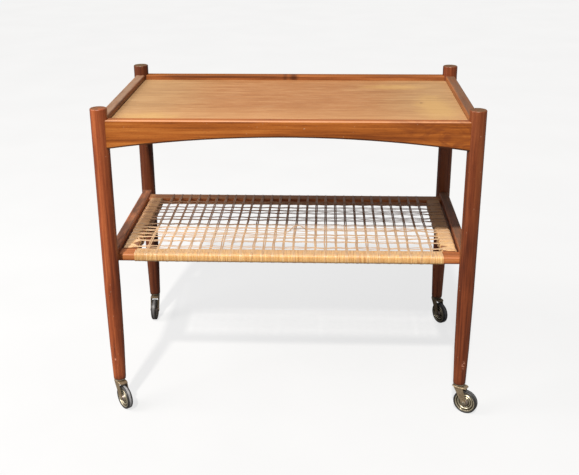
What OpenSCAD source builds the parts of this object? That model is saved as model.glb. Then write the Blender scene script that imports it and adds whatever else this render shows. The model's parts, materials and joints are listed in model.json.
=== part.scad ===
// Teak serving trolley: a recessed tray on four round legs, a woven cane shelf below it,
// and four swivel casters. Millimetres, +Z up, -Y is the front, floor at Z = 0.
// The origin is the middle of the four legs at floor level.

/* [Overall] */
// Distance between the leg centres along the length
leg_span_x = 700; // [600:1:800]
// Distance between the leg centres from front to rear
leg_span_y = 420; // [360:1:500]
// Height of the leg tops over the floor
cart_height = 633; // [600:1:700]

/* [Legs] */
// Diameter of a leg from its top down to the start of the taper
leg_d = 32; // [30:0.5:36]
// Diameter of a leg at its foot
foot_d = 25; // [24:0.5:27]
// Height over the floor where the taper starts
taper_z = 262; // [200:5:300]
// How far the leg tops stand over the tray rails
leg_proud = 21; // [12:1:30]

/* [Tray] */
// Thickness of the four rails around the tray
rail_t = 20; // [16:0.5:22]
// Height of the rails at their ends
rail_h = 55; // [46:1:64]
// Rise of the arch under the front and rear rails
arch_rise = 24; // [10:1:30]
// Depth of the tray surface below the top of the rails
tray_recess = 11; // [6:0.5:14]
// Thickness of the tray panel
panel_t = 8; // [6:0.5:10]
// How far the tongue around the panel lies below the panel's face
rebate = 2; // [1:0.5:3]

/* [Shelf] */
// Height of the top of the shelf frame over the floor
shelf_z = 332; // [310:1:380]
// Thickness of the boards of the shelf frame
board_t = 16; // [13:0.5:18]
// Width of the front and rear boards of the shelf
shelf_rail_w = 32; // [26:1:34]
// Distance from a leg's centre line in to the outer edge of the front and rear boards
shelf_inset = 22; // [20:1:40]
// Width of the side boards of the shelf
slat_w = 28; // [22:1:34]
// Width of the gap between a side board and its stretcher
slat_gap = 5; // [3:0.5:10]
// Height of the stretchers between the front and rear legs
stretcher_h = 24; // [20:1:32]
// Height of the stretchers' top over the shelf frame
stretcher_lift = 7; // [2:1:12]

/* [Cane] */
// Thickness of one layer of cane
cane_t = 1.2; // [0.8:0.1:1.6]
// Width of one pair of strands in the web
strand_w = 5; // [3:0.5:7]
// Number of pairs that run from front to rear
warp_count = 28; // [20:1:32]
// Number of pairs that run from left to right
weft_count = 14; // [10:1:16]

/* [Casters] */
// Diameter of a wheel over its tyre
wheel_d = 50; // [46:1:51]
// Width of the tyre
tyre_w = 12; // [11:0.5:14]
// Distance from the swivel axis back to the axle
trail = 16; // [15:1:22]
// Height of the legs' feet over the floor
caster_h = 64; // [63:0.5:70]
// Direction in which the front left wheel trails, from +X towards +Y
front_left_turn = -50; // [-180:1:180]
// Direction in which the front right wheel trails
front_right_turn = -30; // [-180:1:180]
// Direction in which the rear left wheel trails
rear_left_turn = -90; // [-180:1:180]
// Direction in which the rear right wheel trails
rear_right_turn = -60; // [-180:1:180]

/* [Hidden] */
$fn = 96;
X = 0;
Y = 1;
NAMES = ["front_left", "front_right", "rear_left", "rear_right"];
// Which side of the cart each corner is on, along X and along Y
SIDES = [[-1, -1], [1, -1], [-1, 1], [1, 1]];
TURNS = [front_left_turn, front_right_turn, rear_left_turn, rear_right_turn];
CORNERS = [0 : 3];
CORNER_PARTS = ["leg", "caster_socket", "caster_fork", "caster_stem", "axle", "wheel_disc", "tyre"];

teak_dark = [0.45, 0.22, 0.13];
teak_mid = [0.60, 0.34, 0.17];
teak_pale = [0.76, 0.57, 0.37];
beech = [0.82, 0.68, 0.48];
cane_gold = [0.88, 0.70, 0.44];
dull_brass = [0.52, 0.46, 0.36];
dull_nickel = [0.55, 0.53, 0.48];
rubber = [0.12, 0.12, 0.12];
steel = [0.6, 0.6, 0.6];

// Clearance around a glued joint, and in a seat that is pressed or riveted
glue = 0.1;
seat = 0.02;
// Radial clearance of a shaft that turns in its bore
run = 0.05;
// Overshoot of a cut past the face it goes through
over = 1;

leg_r = leg_d / 2;
foot_r = foot_d / 2;
half_x = leg_span_x / 2;
half_y = leg_span_y / 2;
edge_r = 3;

rail_top = cart_height - leg_proud;
rail_bottom = rail_top - rail_h;
panel_top = rail_top - tray_recess;
panel_bottom = panel_top - panel_t;
groove = 4;
groove_gap = 0.3;
// The panel's tongue, which the grooves hold
tongue_top = panel_top - rebate;
tongue_middle = (tongue_top + panel_bottom) / 2;
tongue_t = tongue_top - panel_bottom;
// How near a rail's end comes to the leg's axis before it is coped to the leg
cope = leg_r - 4;
leg_edge_r = 2;
// The taper swells a little: how far, and how far below its middle
swell = 0.4;
swell_drop = 20;

// A tenon's end and root, from the leg's axis; two tenons can then meet in a leg at a right angle
tenon_t = 8;
tenon_stop = 5.5;
tenon_root = leg_r + 8;
tenon_middle = (tenon_root + tenon_stop) / 2;
rail_tenon_h = 34;
rail_tenon_z = rail_bottom + 10;
stretcher_tenon_h = 14;
stretcher_top = shelf_z + stretcher_lift;
stretcher_tenon_z = stretcher_top - (stretcher_h + stretcher_tenon_h) / 2;

cleat_w = 12;
cleat_h = 10;
cleat_half = half_x - 50;
cleat_z = panel_bottom - cleat_h;
screw_pitch = cleat_half / 2;
screw_xs = [for (k = [-1.5 : 1 : 1.5]) k * screw_pitch];
screw_r = 1.75;
screw_head_r = 3.4;
screw_head_h = 2;
screw_rim = 0.4;
screw_point = 2;
screw_bite = 5;

stretcher_in = half_x - rail_t / 2;
shelf_out_y = half_y - shelf_inset;
shelf_in_y = shelf_out_y - shelf_rail_w;
shelf_rail_y = shelf_out_y - shelf_rail_w / 2;
slat_out_x = stretcher_in - slat_gap;
slat_in_x = slat_out_x - slat_w;
slat_x = slat_out_x - slat_w / 2;
board_z = shelf_z - board_t;
board_r = 5;
stub = 8;
stub_t = 6;
stub_w = 14;
dowel_r = 4;
dowel_in = 10;
dowel_pitch = 16;
slat_r = 4;

// The web lies on the shelf frame, between the wrapped boards
web_x = slat_in_x - cane_t - glue;
web_y = shelf_in_y - cane_t - glue;
warp_pitch = 2 * web_x / (warp_count + 1);
weft_pitch = 2 * web_y / (weft_count + 1);

wheel_r = wheel_d / 2;
disc_r = wheel_r - 4;
hub_r = 6.5;
axle_r = 2.5;
axle_head_r = 4;
fork_t = 1.6;
fork_gap = 2.2;
arm_in = tyre_w / 2 + fork_gap;
arm_out = arm_in + fork_t;
// Half of the hub's length leaves a small side gap in the fork; half of the rim's width
hub_half = arm_in - 0.3;
rim_half = tyre_w / 2 - 1.2;
flange_t = 2;
flange_r = foot_r - 0.6;
collar_top = caster_h - flange_t - 0.4;
collar_top_r = 8;
collar_r = 9.5;
plate_top = caster_h - 5;
plate_t = 2;
plate_back = 11;
plate_front = 15;
arm_boss_r = 5;
stem_r = 4;
stem_len = 28;
socket_len = stem_len + 2;
socket_r = 5.5;
chamfer = 0.5;
plate_r = 4;

// Points along an arc, from one angle to another
function arc(centre, r, from, to, steps = 6) = [
    for (k = [0 : steps])
        let (angle = from + (to - from) * k / steps)
        centre + r * [cos(angle), sin(angle)]];

// A rectangle from corner a to corner b, with its upper and lower corners rounded
function rounded(a, b, r_top, r_bottom) = concat(
    arc([b[X] - r_bottom, a[Y] + r_bottom], r_bottom, -90, 0),
    arc([b[X] - r_top, b[Y] - r_top], r_top, 0, 90),
    arc([a[X] + r_top, b[Y] - r_top], r_top, 90, 180),
    arc([a[X] + r_bottom, a[Y] + r_bottom], r_bottom, 180, 270));

// The angle at which a line from point p touches a circle, on the side that side names
function touch(p, centre, r, side) =
    atan2(p[Y] - centre[Y], p[X] - centre[X]) + side * acos(r / norm(p - centre));

// Runs an outline in Y and Z along X, from -half to half
module along_x(half) {
    rotate([90, 0, 90])
        translate([0, 0, -half])
            linear_extrude(height = 2 * half)
                children();
}

// Runs an outline in X and Z along Y, from -half to half
module along_y(half) {
    rotate([90, 0, 0])
        translate([0, 0, -half])
            linear_extrude(height = 2 * half)
                children();
}

// A block with a low corner and a high corner
module block(low, high) {
    translate(low)
        cube(high - low);
}

// Cuts away where the legs stand
module legs_room(gap) {
    for (side = SIDES)
        translate([side[X] * half_x, side[Y] * half_y, 0])
            cylinder(r = leg_r + gap, h = cart_height);
}

// ---------------------------------------------------------------- legs

module leg_turning() {
    rotate_extrude()
        polygon(concat(
            [[0, caster_h]],
            arc([foot_r - leg_edge_r, caster_h + leg_edge_r], leg_edge_r, -90, 0, 4),
            [[(foot_r + leg_r) / 2 + swell, (caster_h + taper_z) / 2 - swell_drop], [leg_r, taper_z]],
            arc([leg_r - leg_edge_r, cart_height - leg_edge_r], leg_edge_r, 0, 90, 4),
            [[0, cart_height]]));
}

// The pockets for the tray rails' tenons and the stretcher's, open towards the middle of the cart
module mortises(side) {
    mirror([0, side[Y] > 0 ? 1 : 0, 0]) {
        mortise(rail_tenon_z, rail_tenon_h);
        mortise(stretcher_tenon_z, stretcher_tenon_h);
    }
    mirror([side[X] > 0 ? 1 : 0, 0, 0])
        rotate([0, 0, -90])
            mortise(rail_tenon_z, rail_tenon_h);
}

// A pocket that runs out of the leg along +Y, for a tenon from height z up
module mortise(z, h) {
    half_t = tenon_t / 2 + glue;
    block([-half_t, tenon_stop - 0.5, z - glue], [half_t, leg_r + over, z + h + glue]);
}

module leg(i) {
    color(teak_dark)
        translate([SIDES[i][X] * half_x, SIDES[i][Y] * half_y, 0])
            difference() {
                leg_turning();
                mortises(SIDES[i]);
                translate([0, 0, caster_h - over])
                    cylinder(r = socket_r + seat, h = over + socket_len + 1);
            }
}

// ---------------------------------------------------------------- tray

// The front rail, or the rear one where side is 1
module long_rail(side) {
    reach = half_x - cope;
    arch_r = (pow(reach, 2) + pow(arch_rise, 2)) / (2 * arch_rise);
    y = side * half_y;
    color(teak_mid) {
        difference() {
            along_x(reach)
                translate([y, 0])
                    polygon(rounded([-rail_t / 2, rail_bottom], [rail_t / 2, rail_top], edge_r, 1));
            translate([0, y - side * (rail_t / 2 - groove / 2 + over), tongue_middle])
                cube([2 * half_x, groove + 2 * over, tongue_t + 2 * glue], center = true);
            translate([0, y, rail_bottom + arch_rise - arch_r])
                rotate([90, 0, 0])
                    cylinder(r = arch_r, h = 2 * rail_t, center = true, $fn = 256);
            legs_room(glue);
        }
        for (end = [-1, 1])
            translate([end * (half_x - tenon_middle), y, rail_tenon_z + rail_tenon_h / 2])
                cube([tenon_root - tenon_stop, tenon_t, rail_tenon_h], center = true);
    }
}

// The left rail, or the right one where side is 1
module short_rail(side) {
    reach = half_y - cope;
    x = side * half_x;
    color(teak_mid) {
        difference() {
            along_y(reach)
                translate([x, 0])
                    polygon(rounded([-rail_t / 2, rail_bottom], [rail_t / 2, rail_top], edge_r, 1));
            translate([x - side * (rail_t / 2 - groove / 2 + over), 0, tongue_middle])
                cube([groove + 2 * over, 2 * half_y, tongue_t + 2 * glue], center = true);
            legs_room(glue);
        }
        leg_tenons(x, rail_tenon_z, rail_tenon_h);
    }
}

// The tenons at both ends of a piece that runs from front to rear at this x
module leg_tenons(x, z, h) {
    for (end = [-1, 1])
        translate([x, end * (half_y - tenon_middle), z + h / 2])
            cube([tenon_t, tenon_root - tenon_stop, h], center = true);
}

module tray_panel() {
    face = [half_x - rail_t / 2 - groove_gap, half_y - rail_t / 2 - groove_gap];
    tongue = [face[X] + groove, face[Y] + groove];
    color(teak_pale)
        difference() {
            union() {
                block([-face[X], -face[Y], panel_bottom], [face[X], face[Y], panel_top]);
                block([-tongue[X], -tongue[Y], panel_bottom], [tongue[X], tongue[Y], tongue_top]);
            }
            legs_room(3 * glue);
            for (side = [-1, 1], x = screw_xs)
                translate([x, side * cleat_y(), panel_bottom - over])
                    cylinder(r = screw_r + seat, h = over + screw_bite + groove_gap);
        }
}

function cleat_y() = half_y - (rail_t + cleat_w) / 2;

// A batten that holds the tray panel down from below
module cleat(side) {
    color(beech)
        difference() {
            block([-cleat_half, side * cleat_y() - cleat_w / 2 + glue / 2, cleat_z],
                  [cleat_half, side * cleat_y() + cleat_w / 2 - glue / 2, panel_bottom - glue / 2]);
            for (x = screw_xs)
                translate([x, side * cleat_y(), cleat_z])
                    screw_shape(seat);
        }
}

// A countersunk wood screw, point up, with its head flush at Z = 0
module screw_shape(gap) {
    rotate_extrude($fn = 32)
        polygon([
            [0, -gap], [screw_head_r + gap, -gap], [screw_head_r + gap, screw_rim],
            [screw_r + gap, screw_head_h], [screw_r + gap, cleat_h + screw_bite - screw_point],
            [0, cleat_h + screw_bite]]);
}

module tray_screws() {
    slot_w = 0.8;
    color(steel)
        for (side = [-1, 1], x = screw_xs)
            translate([x, side * cleat_y(), cleat_z])
                difference() {
                    screw_shape(0);
                    cube([2 * screw_head_r + over, slot_w, 2 * slot_w], center = true);
                }
}

// ---------------------------------------------------------------- shelf

// The section of a shelf board of width w, grown all round by more
function board(w, r, more) =
    rounded([-w / 2 - more, board_z - more], [w / 2 + more, shelf_z + more], r + more, r + more);

module stretcher(side) {
    x = side * half_x;
    color(teak_dark)
        difference() {
            union() {
                difference() {
                    along_y(half_y - cope)
                        translate([x, 0])
                            polygon(rounded([-rail_t / 2, stretcher_top - stretcher_h],
                                            [rail_t / 2, stretcher_top], edge_r, 2));
                    legs_room(glue);
                }
                leg_tenons(x, stretcher_tenon_z, stretcher_tenon_h);
            }
            dowels(run);
        }
}

module shelf_rail(side) {
    color(teak_mid)
        difference() {
            along_x(stretcher_in - glue)
                translate([side * shelf_rail_y, 0])
                    polygon(board(shelf_rail_w, board_r, 0));
            dowels(run);
            for (end = [-1, 1])
                slat_stubs(end, glue);
        }
}

// The stub tenons of the side board, which enter the front and rear boards
module slat_stubs(side, gap) {
    root = 1;
    for (end = [-1, 1])
        translate([side * slat_x, end * (shelf_in_y + (stub - root) / 2), board_z + board_t / 2])
            cube([stub_w + 2 * gap, stub + root + 2 * gap, stub_t + 2 * gap], center = true);
}

module shelf_slat(side) {
    color(teak_mid) {
        along_y(shelf_in_y - glue)
            translate([side * slat_x, 0])
                polygon(board(slat_w, slat_r, 0));
        slat_stubs(side, 0);
    }
}

// Two dowels at each end of the front and rear boards, into the stretchers
module dowels(gap) {
    for (side = SIDES, k = [-0.5, 0.5])
        translate([side[X] * stretcher_in, side[Y] * shelf_rail_y + k * dowel_pitch, board_z + board_t / 2])
            rotate([0, 90, 0])
                cylinder(r = dowel_r + gap, h = 2 * dowel_in + 2 * gap, center = true, $fn = 32);
}

module shelf_dowels() {
    color(beech)
        dowels(0);
}

// ---------------------------------------------------------------- cane

// The section of a sleeve of cane around a shelf board
module sleeve(w, r) {
    difference() {
        polygon(board(w, r, cane_t));
        polygon(board(w, r, seat));
    }
}

module front_rail_wrap() {
    color(cane_gold)
        along_x(slat_in_x)
            translate([-shelf_rail_y, 0])
                sleeve(shelf_rail_w, board_r);
}

// One loop of cane over the rear board for each pair of strands
module rear_rail_loops() {
    color(cane_gold)
        for (k = [1 : warp_count])
            translate([k * warp_pitch - web_x, 0, 0])
                along_x(strand_w / 2)
                    translate([shelf_rail_y, 0])
                        sleeve(shelf_rail_w, board_r);
}

module slat_wrap(side) {
    color(cane_gold)
        along_y(shelf_in_y - cane_t - 2 * glue)
            translate([side * slat_x, 0])
                sleeve(slat_w, slat_r);
}

module cane_web() {
    z = shelf_z + glue;
    color(cane_gold) {
        for (k = [1 : warp_count])
            translate([k * warp_pitch - web_x, 0, z + cane_t / 2])
                cube([strand_w, 2 * web_y, cane_t], center = true);
        for (k = [1 : weft_count])
            translate([0, k * weft_pitch - web_y, z + cane_t / 2])
                cube([2 * web_x, strand_w, cane_t], center = true);
    }
}

// ---------------------------------------------------------------- casters

// Stands a caster's piece under its leg, with +X the way the wheel trails
module under_leg(i) {
    translate([SIDES[i][X] * half_x, SIDES[i][Y] * half_y, 0])
        rotate([0, 0, TURNS[i]])
            children();
}

// Lays a turned piece on the wheel's axle
module on_axle(i) {
    under_leg(i)
        translate([trail, 0, wheel_r])
            rotate([90, 0, 0])
                children();
}

module caster_socket(i) {
    color(dull_nickel)
        under_leg(i)
            rotate_extrude()
                polygon([
                    [stem_r, caster_h - flange_t], [flange_r - chamfer, caster_h - flange_t],
                    [flange_r, caster_h - flange_t + chamfer], [flange_r, caster_h - glue],
                    [socket_r, caster_h - glue], [socket_r, caster_h + socket_len],
                    [stem_r, caster_h + socket_len]]);
}

// One arm's outline in X and Z: wide at the plate and round at the axle
function arm_outline() =
    let (axle = [trail, wheel_r])
    let (rear = [2 - plate_back, plate_top], front = [plate_front - plate_r, plate_top])
    let (from = touch(rear, axle, arm_boss_r, 1), to = touch(front, axle, arm_boss_r, -1) + 360)
    concat([front, rear], arc(axle, arm_boss_r, from, to, 12));

module caster_fork(i) {
    color(dull_brass)
        under_leg(i)
            difference() {
                union() {
                    translate([0, 0, plate_top - plate_t])
                        linear_extrude(height = plate_t)
                            polygon(rounded([-plate_back, -arm_out], [plate_front, arm_out],
                                            plate_r, plate_r));
                    translate([0, 0, plate_top])
                        cylinder(r1 = collar_r, r2 = collar_top_r, h = collar_top - plate_top);
                    for (side = [-1, 1])
                        translate([0, side * (arm_in + fork_t / 2) + fork_t / 2, 0])
                            rotate([90, 0, 0])
                                linear_extrude(height = fork_t)
                                    polygon(arm_outline());
                }
                translate([0, 0, plate_top - plate_t - over])
                    cylinder(r = stem_r - run + seat, h = caster_h);
                translate([trail, 0, wheel_r])
                    rotate([90, 0, 0])
                        cylinder(r = axle_r + seat, h = 4 * arm_out, center = true);
            }
}

module caster_stem(i) {
    head_r = 6.5;
    head_top = plate_top - plate_t - seat;
    head_bottom = head_top - 1.4;
    r = stem_r - run;
    point = 1.5;
    color(dull_nickel)
        under_leg(i)
            rotate_extrude()
                polygon([
                    [0, head_bottom], [head_r - chamfer, head_bottom], [head_r, head_bottom + chamfer],
                    [head_r, head_top], [r, head_top], [r, caster_h + stem_len - point],
                    [r - point, caster_h + stem_len], [0, caster_h + stem_len]]);
}

// A closed outline from half of it: the points below the middle plane mirror those above
function both_faces(half) = concat(half, [for (k = [len(half) - 1 : -1 : 0]) [half[k][X], -half[k][Y]]]);

module axle(i) {
    head = arm_out + seat;
    color(dull_nickel)
        on_axle(i)
            rotate_extrude()
                polygon(both_faces([
                    [axle_r, head], [axle_head_r, head], [axle_head_r, head + chamfer],
                    [axle_head_r - 1, head + 2 * chamfer], [0, head + 2 * chamfer]]));
}

// A dished disc with a hub, two raised rings and a flat rim
module wheel_disc(i) {
    color(dull_nickel)
        on_axle(i)
            rotate_extrude()
                polygon(both_faces([
                    [axle_r + run, hub_half], [hub_r, hub_half], [hub_r + 1, 5], [hub_r + 1.6, 3], [9, 2.2],
                    [9.8, 3.4], [11.4, 3.4], [12.4, 2], [14, 2], [14.9, 4], [16.4, 4.4], [17.3, 3.4],
                    [18.2, 3.4], [disc_r - 1.8, rim_half], [disc_r, rim_half]]));
}

module tyre(i) {
    shoulder = 0.65 * (wheel_r - disc_r);
    lip = 0.8;
    color(rubber)
        on_axle(i)
            rotate_extrude()
                polygon(both_faces(concat(
                    [[disc_r + seat, rim_half + 0.4], [disc_r + lip, tyre_w / 2]],
                    arc([wheel_r - shoulder, tyre_w / 2 - shoulder], shoulder, 90, 0))));
}

// ---------------------------------------------------------------- assembly

FRAME_PARTS = [
    "front_rail", "rear_rail", "left_rail", "right_rail",
    "tray_panel", "front_cleat", "rear_cleat", "tray_screws",
    "left_stretcher", "right_stretcher", "shelf_front_rail", "shelf_rear_rail",
    "left_slat", "right_slat", "shelf_dowels",
    "front_rail_wrap", "rear_rail_loops", "left_slat_wrap", "right_slat_wrap", "cane_web"];

long_rail(-1);  // front_rail
long_rail(1);  // rear_rail
short_rail(-1);  // left_rail
short_rail(1);  // right_rail
tray_panel();
cleat(-1);  // front_cleat
cleat(1);  // rear_cleat
tray_screws();
stretcher(-1);  // left_stretcher
stretcher(1);  // right_stretcher
shelf_rail(-1);  // shelf_front_rail
shelf_rail(1);  // shelf_rear_rail
shelf_slat(-1);  // left_slat
shelf_slat(1);  // right_slat
shelf_dowels();
front_rail_wrap();
rear_rail_loops();
slat_wrap(-1);  // left_slat_wrap
slat_wrap(1);  // right_slat_wrap
cane_web();
for (i = CORNERS) {
    leg(i);
    caster_socket(i);
    caster_fork(i);
    caster_stem(i);
    axle(i);
    wheel_disc(i);
    tyre(i);
}
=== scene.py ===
"""A teak serving trolley with a woven cane shelf: the looks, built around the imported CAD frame.

Everything is in metres in the CAD frame: +Z up, -Y the front, the floor at Z = 0.
"""
import json
import math

import bmesh
import bpy
from mathutils import Matrix, Vector, noise


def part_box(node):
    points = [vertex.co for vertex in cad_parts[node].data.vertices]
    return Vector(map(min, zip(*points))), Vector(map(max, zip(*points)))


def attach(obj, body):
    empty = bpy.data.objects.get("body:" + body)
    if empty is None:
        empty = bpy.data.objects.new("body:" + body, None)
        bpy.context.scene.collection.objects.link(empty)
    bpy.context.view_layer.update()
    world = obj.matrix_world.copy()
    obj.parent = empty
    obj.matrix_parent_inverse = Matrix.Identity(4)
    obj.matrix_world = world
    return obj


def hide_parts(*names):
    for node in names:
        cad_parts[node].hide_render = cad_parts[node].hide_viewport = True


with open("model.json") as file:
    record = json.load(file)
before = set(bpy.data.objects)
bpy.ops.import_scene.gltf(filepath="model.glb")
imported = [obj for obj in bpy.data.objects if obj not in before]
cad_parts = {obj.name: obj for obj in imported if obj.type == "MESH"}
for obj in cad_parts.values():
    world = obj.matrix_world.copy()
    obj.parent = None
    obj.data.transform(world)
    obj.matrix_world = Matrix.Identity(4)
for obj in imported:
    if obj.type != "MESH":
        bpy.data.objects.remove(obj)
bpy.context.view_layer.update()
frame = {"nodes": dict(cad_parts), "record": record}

CORNERS = ("front_left", "front_right", "rear_left", "rear_right")
MM = 0.001


# ---------------------------------------------------------------- camera and light

def add_camera():
    """The viewpoint: in front, a little to the right, looking down at the shelf."""
    place = Vector((0.0719, -1.8786, 1.0312))
    yaw, pitch, roll = math.radians(-2.34), math.radians(21.33), math.radians(-0.28)
    ahead = Vector((math.sin(yaw) * math.cos(pitch), math.cos(yaw) * math.cos(pitch),
                    -math.sin(pitch)))
    level = Vector((math.cos(yaw), -math.sin(yaw), 0.0))
    upright = level.cross(ahead)
    right = level * math.cos(roll) + upright * math.sin(roll)
    up = upright * math.cos(roll) - level * math.sin(roll)
    data = bpy.data.cameras.new("camera")
    data.lens = 57.52
    data.sensor_width = 36.0
    camera = bpy.data.objects.new("camera", data)
    camera.matrix_world = Matrix((
        (right.x, up.x, -ahead.x, place.x),
        (right.y, up.y, -ahead.y, place.y),
        (right.z, up.z, -ahead.z, place.z),
        (0.0, 0.0, 0.0, 1.0)))
    bpy.context.scene.collection.objects.link(camera)
    bpy.context.scene.camera = camera


def aim(obj, place, target):
    """Puts a light at place and turns it towards target."""
    obj.location = place
    obj.rotation_euler = (Vector(target) - Vector(place)).to_track_quat("-Z", "Y").to_euler()


def add_light(name, kind, place, target, energy, colour, **settings):
    """A light of any kind; settings are its further properties by name."""
    data = bpy.data.lights.new(name, kind)
    data.energy = energy
    data.color = colour
    for key, value in settings.items():
        setattr(data, key, value)
    obj = bpy.data.objects.new(name, data)
    aim(obj, place, target)
    bpy.context.scene.collection.objects.link(obj)


def add_studio():
    """A key light from the front and above, a large soft one from the left, and a pale floor."""
    add_light("key", "SUN", (-0.30, -1.90, 2.32), (0.0, 0.0, 0.0), 3.6, (1.0, 0.96, 0.90),
              angle=math.radians(3.0))
    add_light("left_softbox", "AREA", (-2.2, -0.7, 2.0), (0.0, 0.0, 0.4), 64.0, (1.0, 0.97, 0.93),
              shape="RECTANGLE", size=1.6, size_y=1.8)
    world = bpy.data.worlds.new("world")
    world.use_nodes = True
    background = world.node_tree.nodes["Background"]
    background.inputs["Color"].default_value = (0.93, 0.95, 1.0, 1.0)
    background.inputs["Strength"].default_value = 0.30
    bpy.context.scene.world = world
    bpy.ops.mesh.primitive_plane_add(size=60.0)
    floor = bpy.context.object
    floor.name = "studio_floor"
    floor.data.materials.append(floor_material())
    keep_glow_on(floor)
    bpy.context.scene.view_settings.view_transform = "Standard"
    bpy.context.scene.view_settings.look = "None"


def keep_glow_on(floor):
    """The floor's own glow lights only the floor, so the shaded sides of the cart stay deep."""
    lit = bpy.data.collections.new("lit_by_floor")
    lit.objects.link(floor)
    floor.light_linking.receiver_collection = lit


# ---------------------------------------------------------------- materials

class Shader:
    """A material under construction: add() makes a node and links or sets its inputs."""

    def __init__(self, name):
        self.material = bpy.data.materials.new(name)
        self.material.use_nodes = True
        self.tree = self.material.node_tree
        self.tree.nodes.clear()
        self.surface = self.tree.nodes.new("ShaderNodeBsdfPrincipled")
        output = self.tree.nodes.new("ShaderNodeOutputMaterial")
        self.tree.links.new(self.surface.outputs["BSDF"], output.inputs["Surface"])

    def put(self, node, key, value):
        """Links a socket to an input of a node, or gives the input a value."""
        socket = node.inputs[key]
        if isinstance(value, bpy.types.NodeSocket):
            self.tree.links.new(value, socket)
        elif isinstance(value, (tuple, list)) and len(value) == 3 and socket.type == "RGBA":
            socket.default_value = (*value, 1.0)
        else:
            socket.default_value = value

    def add(self, kind, inputs=None, out=0, **settings):
        """Makes a node and returns its output number out."""
        node = self.tree.nodes.new("ShaderNode" + kind)
        for key, value in settings.items():
            setattr(node, key, value)
        for key, value in (inputs or {}).items():
            self.put(node, key, value)
        return node.outputs[out]

    def set(self, **inputs):
        """Sets inputs of the surface; an underscore stands for a space in their names."""
        for key, value in inputs.items():
            self.put(self.surface, key.replace("_", " "), value)

    def math(self, operation, a, b=0.0, clamp=False):
        """One operation on one or two numbers."""
        return self.add("Math", {0: a, 1: b}, operation=operation, use_clamp=clamp)

    def times(self, a, b):
        """The product of two numbers."""
        return self.math("MULTIPLY", a, b)

    def inverse(self, value):
        """1 where value is 0, and 0 where it is 1."""
        return self.math("SUBTRACT", 1.0, value)

    def point(self):
        """The point on the surface, in the piece's own coordinates."""
        return self.add("TexCoord", out=3)

    def part(self, vector, axis):
        """The x, y or z of a vector."""
        return self.add("SeparateXYZ", {0: vector}, out="xyz".index(axis))

    def facing_up(self):
        """How far up the surface looks: 1 on a level top."""
        return self.part(self.add("NewGeometry", out=1), "z")

    def ramp(self, value, *stops):
        """A colour ramp; the stops are (position, colour)."""
        node = self.tree.nodes.new("ShaderNodeValToRGB")
        self.tree.links.new(value, node.inputs[0])
        elements = node.color_ramp.elements
        while len(elements) < len(stops):
            elements.new(0.5)
        for element, (position, colour) in zip(elements, stops):
            element.position = position
            element.color = (*colour, 1.0)
        return node.outputs[0]

    def mix(self, factor, a, b):
        """Colour a where factor is 0, and b where it is 1."""
        node = self.tree.nodes.new("ShaderNodeMix")
        node.data_type = "RGBA"
        self.put(node, 0, factor)
        self.put(node, 6, a)
        self.put(node, 7, b)
        return node.outputs[2]

    def noise(self, vector, scale, detail=3.0, roughness=0.5, distortion=0.0):
        """A noise pattern, from about 0.2 to 0.8."""
        return self.add("TexNoise", {"Vector": vector, "Scale": scale, "Detail": detail,
                                     "Roughness": roughness, "Distortion": distortion})

    def band(self, value, low, high):
        """0 below low, 1 above high, smooth between."""
        return self.add("MapRange", {"Value": value, "From Min": low, "From Max": high},
                        interpolation_type="SMOOTHSTEP")

    def lay_over(self, mask, colour, amount=1.0):
        """Lays a colour over the surface's own where mask is 1, as strongly as amount says."""
        base = self.surface.inputs["Base Color"].links[0].from_socket
        self.set(Base_Color=self.mix(self.times(mask, amount), base, colour))

    def spot(self, at, place, size, ragged=0.0, soft=0.5):
        """1 inside an ellipsoid at place with these half sizes, 0 outside, with a ragged edge."""
        offset = self.add("VectorMath", {0: at, 1: place}, operation="SUBTRACT")
        scaled = self.add("VectorMath", {0: offset, 1: size}, operation="DIVIDE")
        distance = self.add("VectorMath", {0: scaled}, out=1, operation="LENGTH")
        if ragged:
            edge = self.noise(at, 1.2 / min(size), 4.0, 0.6)
            edge = self.times(self.math("SUBTRACT", edge, 0.5), ragged)
            distance = self.math("ADD", distance, edge)
        return self.inverse(self.band(distance, 1.0 - soft, 1.0 + soft))

    def bump(self, height, strength, distance):
        """Relief from a pattern of heights; distance is how high a height of 1 stands."""
        bumps = {"Height": height, "Strength": strength, "Distance": distance}
        self.set(Normal=self.add("Bump", bumps))


def srgb(red, green, blue):
    """A colour given as 0-255 screen values, as the linear light that the shaders use."""
    def linear(c):
        c /= 255.0
        return c / 12.92 if c <= 0.04045 else ((c + 0.055) / 1.055) ** 2.4
    return linear(red), linear(green), linear(blue)


def floor_material():
    """Pale, and partly glowing like a lit studio sweep, so that shadows on it stay light."""
    s = Shader("studio_floor")
    grain = s.noise(s.point(), 3.0)
    s.set(Base_Color=s.ramp(grain, (0.3, (0.145, 0.145, 0.145)), (0.7, (0.16, 0.16, 0.16))))
    s.set(Emission_Color=(1.0, 1.0, 1.0), Emission_Strength=0.73)
    s.set(Roughness=0.9, Specular_IOR_Level=0.0)
    return s.material


# The turn that brings a board's grain, which runs along one of the axes, onto X
QUARTER = math.radians(90.0)
GRAIN = {"x": (0.0, 0.0, 0.0), "y": (0.0, 0.0, QUARTER), "z": (0.0, QUARTER, 0.0)}


def grain_coordinates(s, axis, seed):
    """Coordinates turned so that the grain runs along their X, and shifted for each board."""
    shift = (seed * 1.37, seed * 0.71, seed * 0.43)
    return s.add("Mapping", {"Vector": s.point(), "Rotation": GRAIN[axis], "Location": shift})


def stretched(s, vector, along, across):
    """Coordinates with one scale along the grain and another across it."""
    return s.add("Mapping", {"Vector": vector, "Scale": (along, across, across)})


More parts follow.
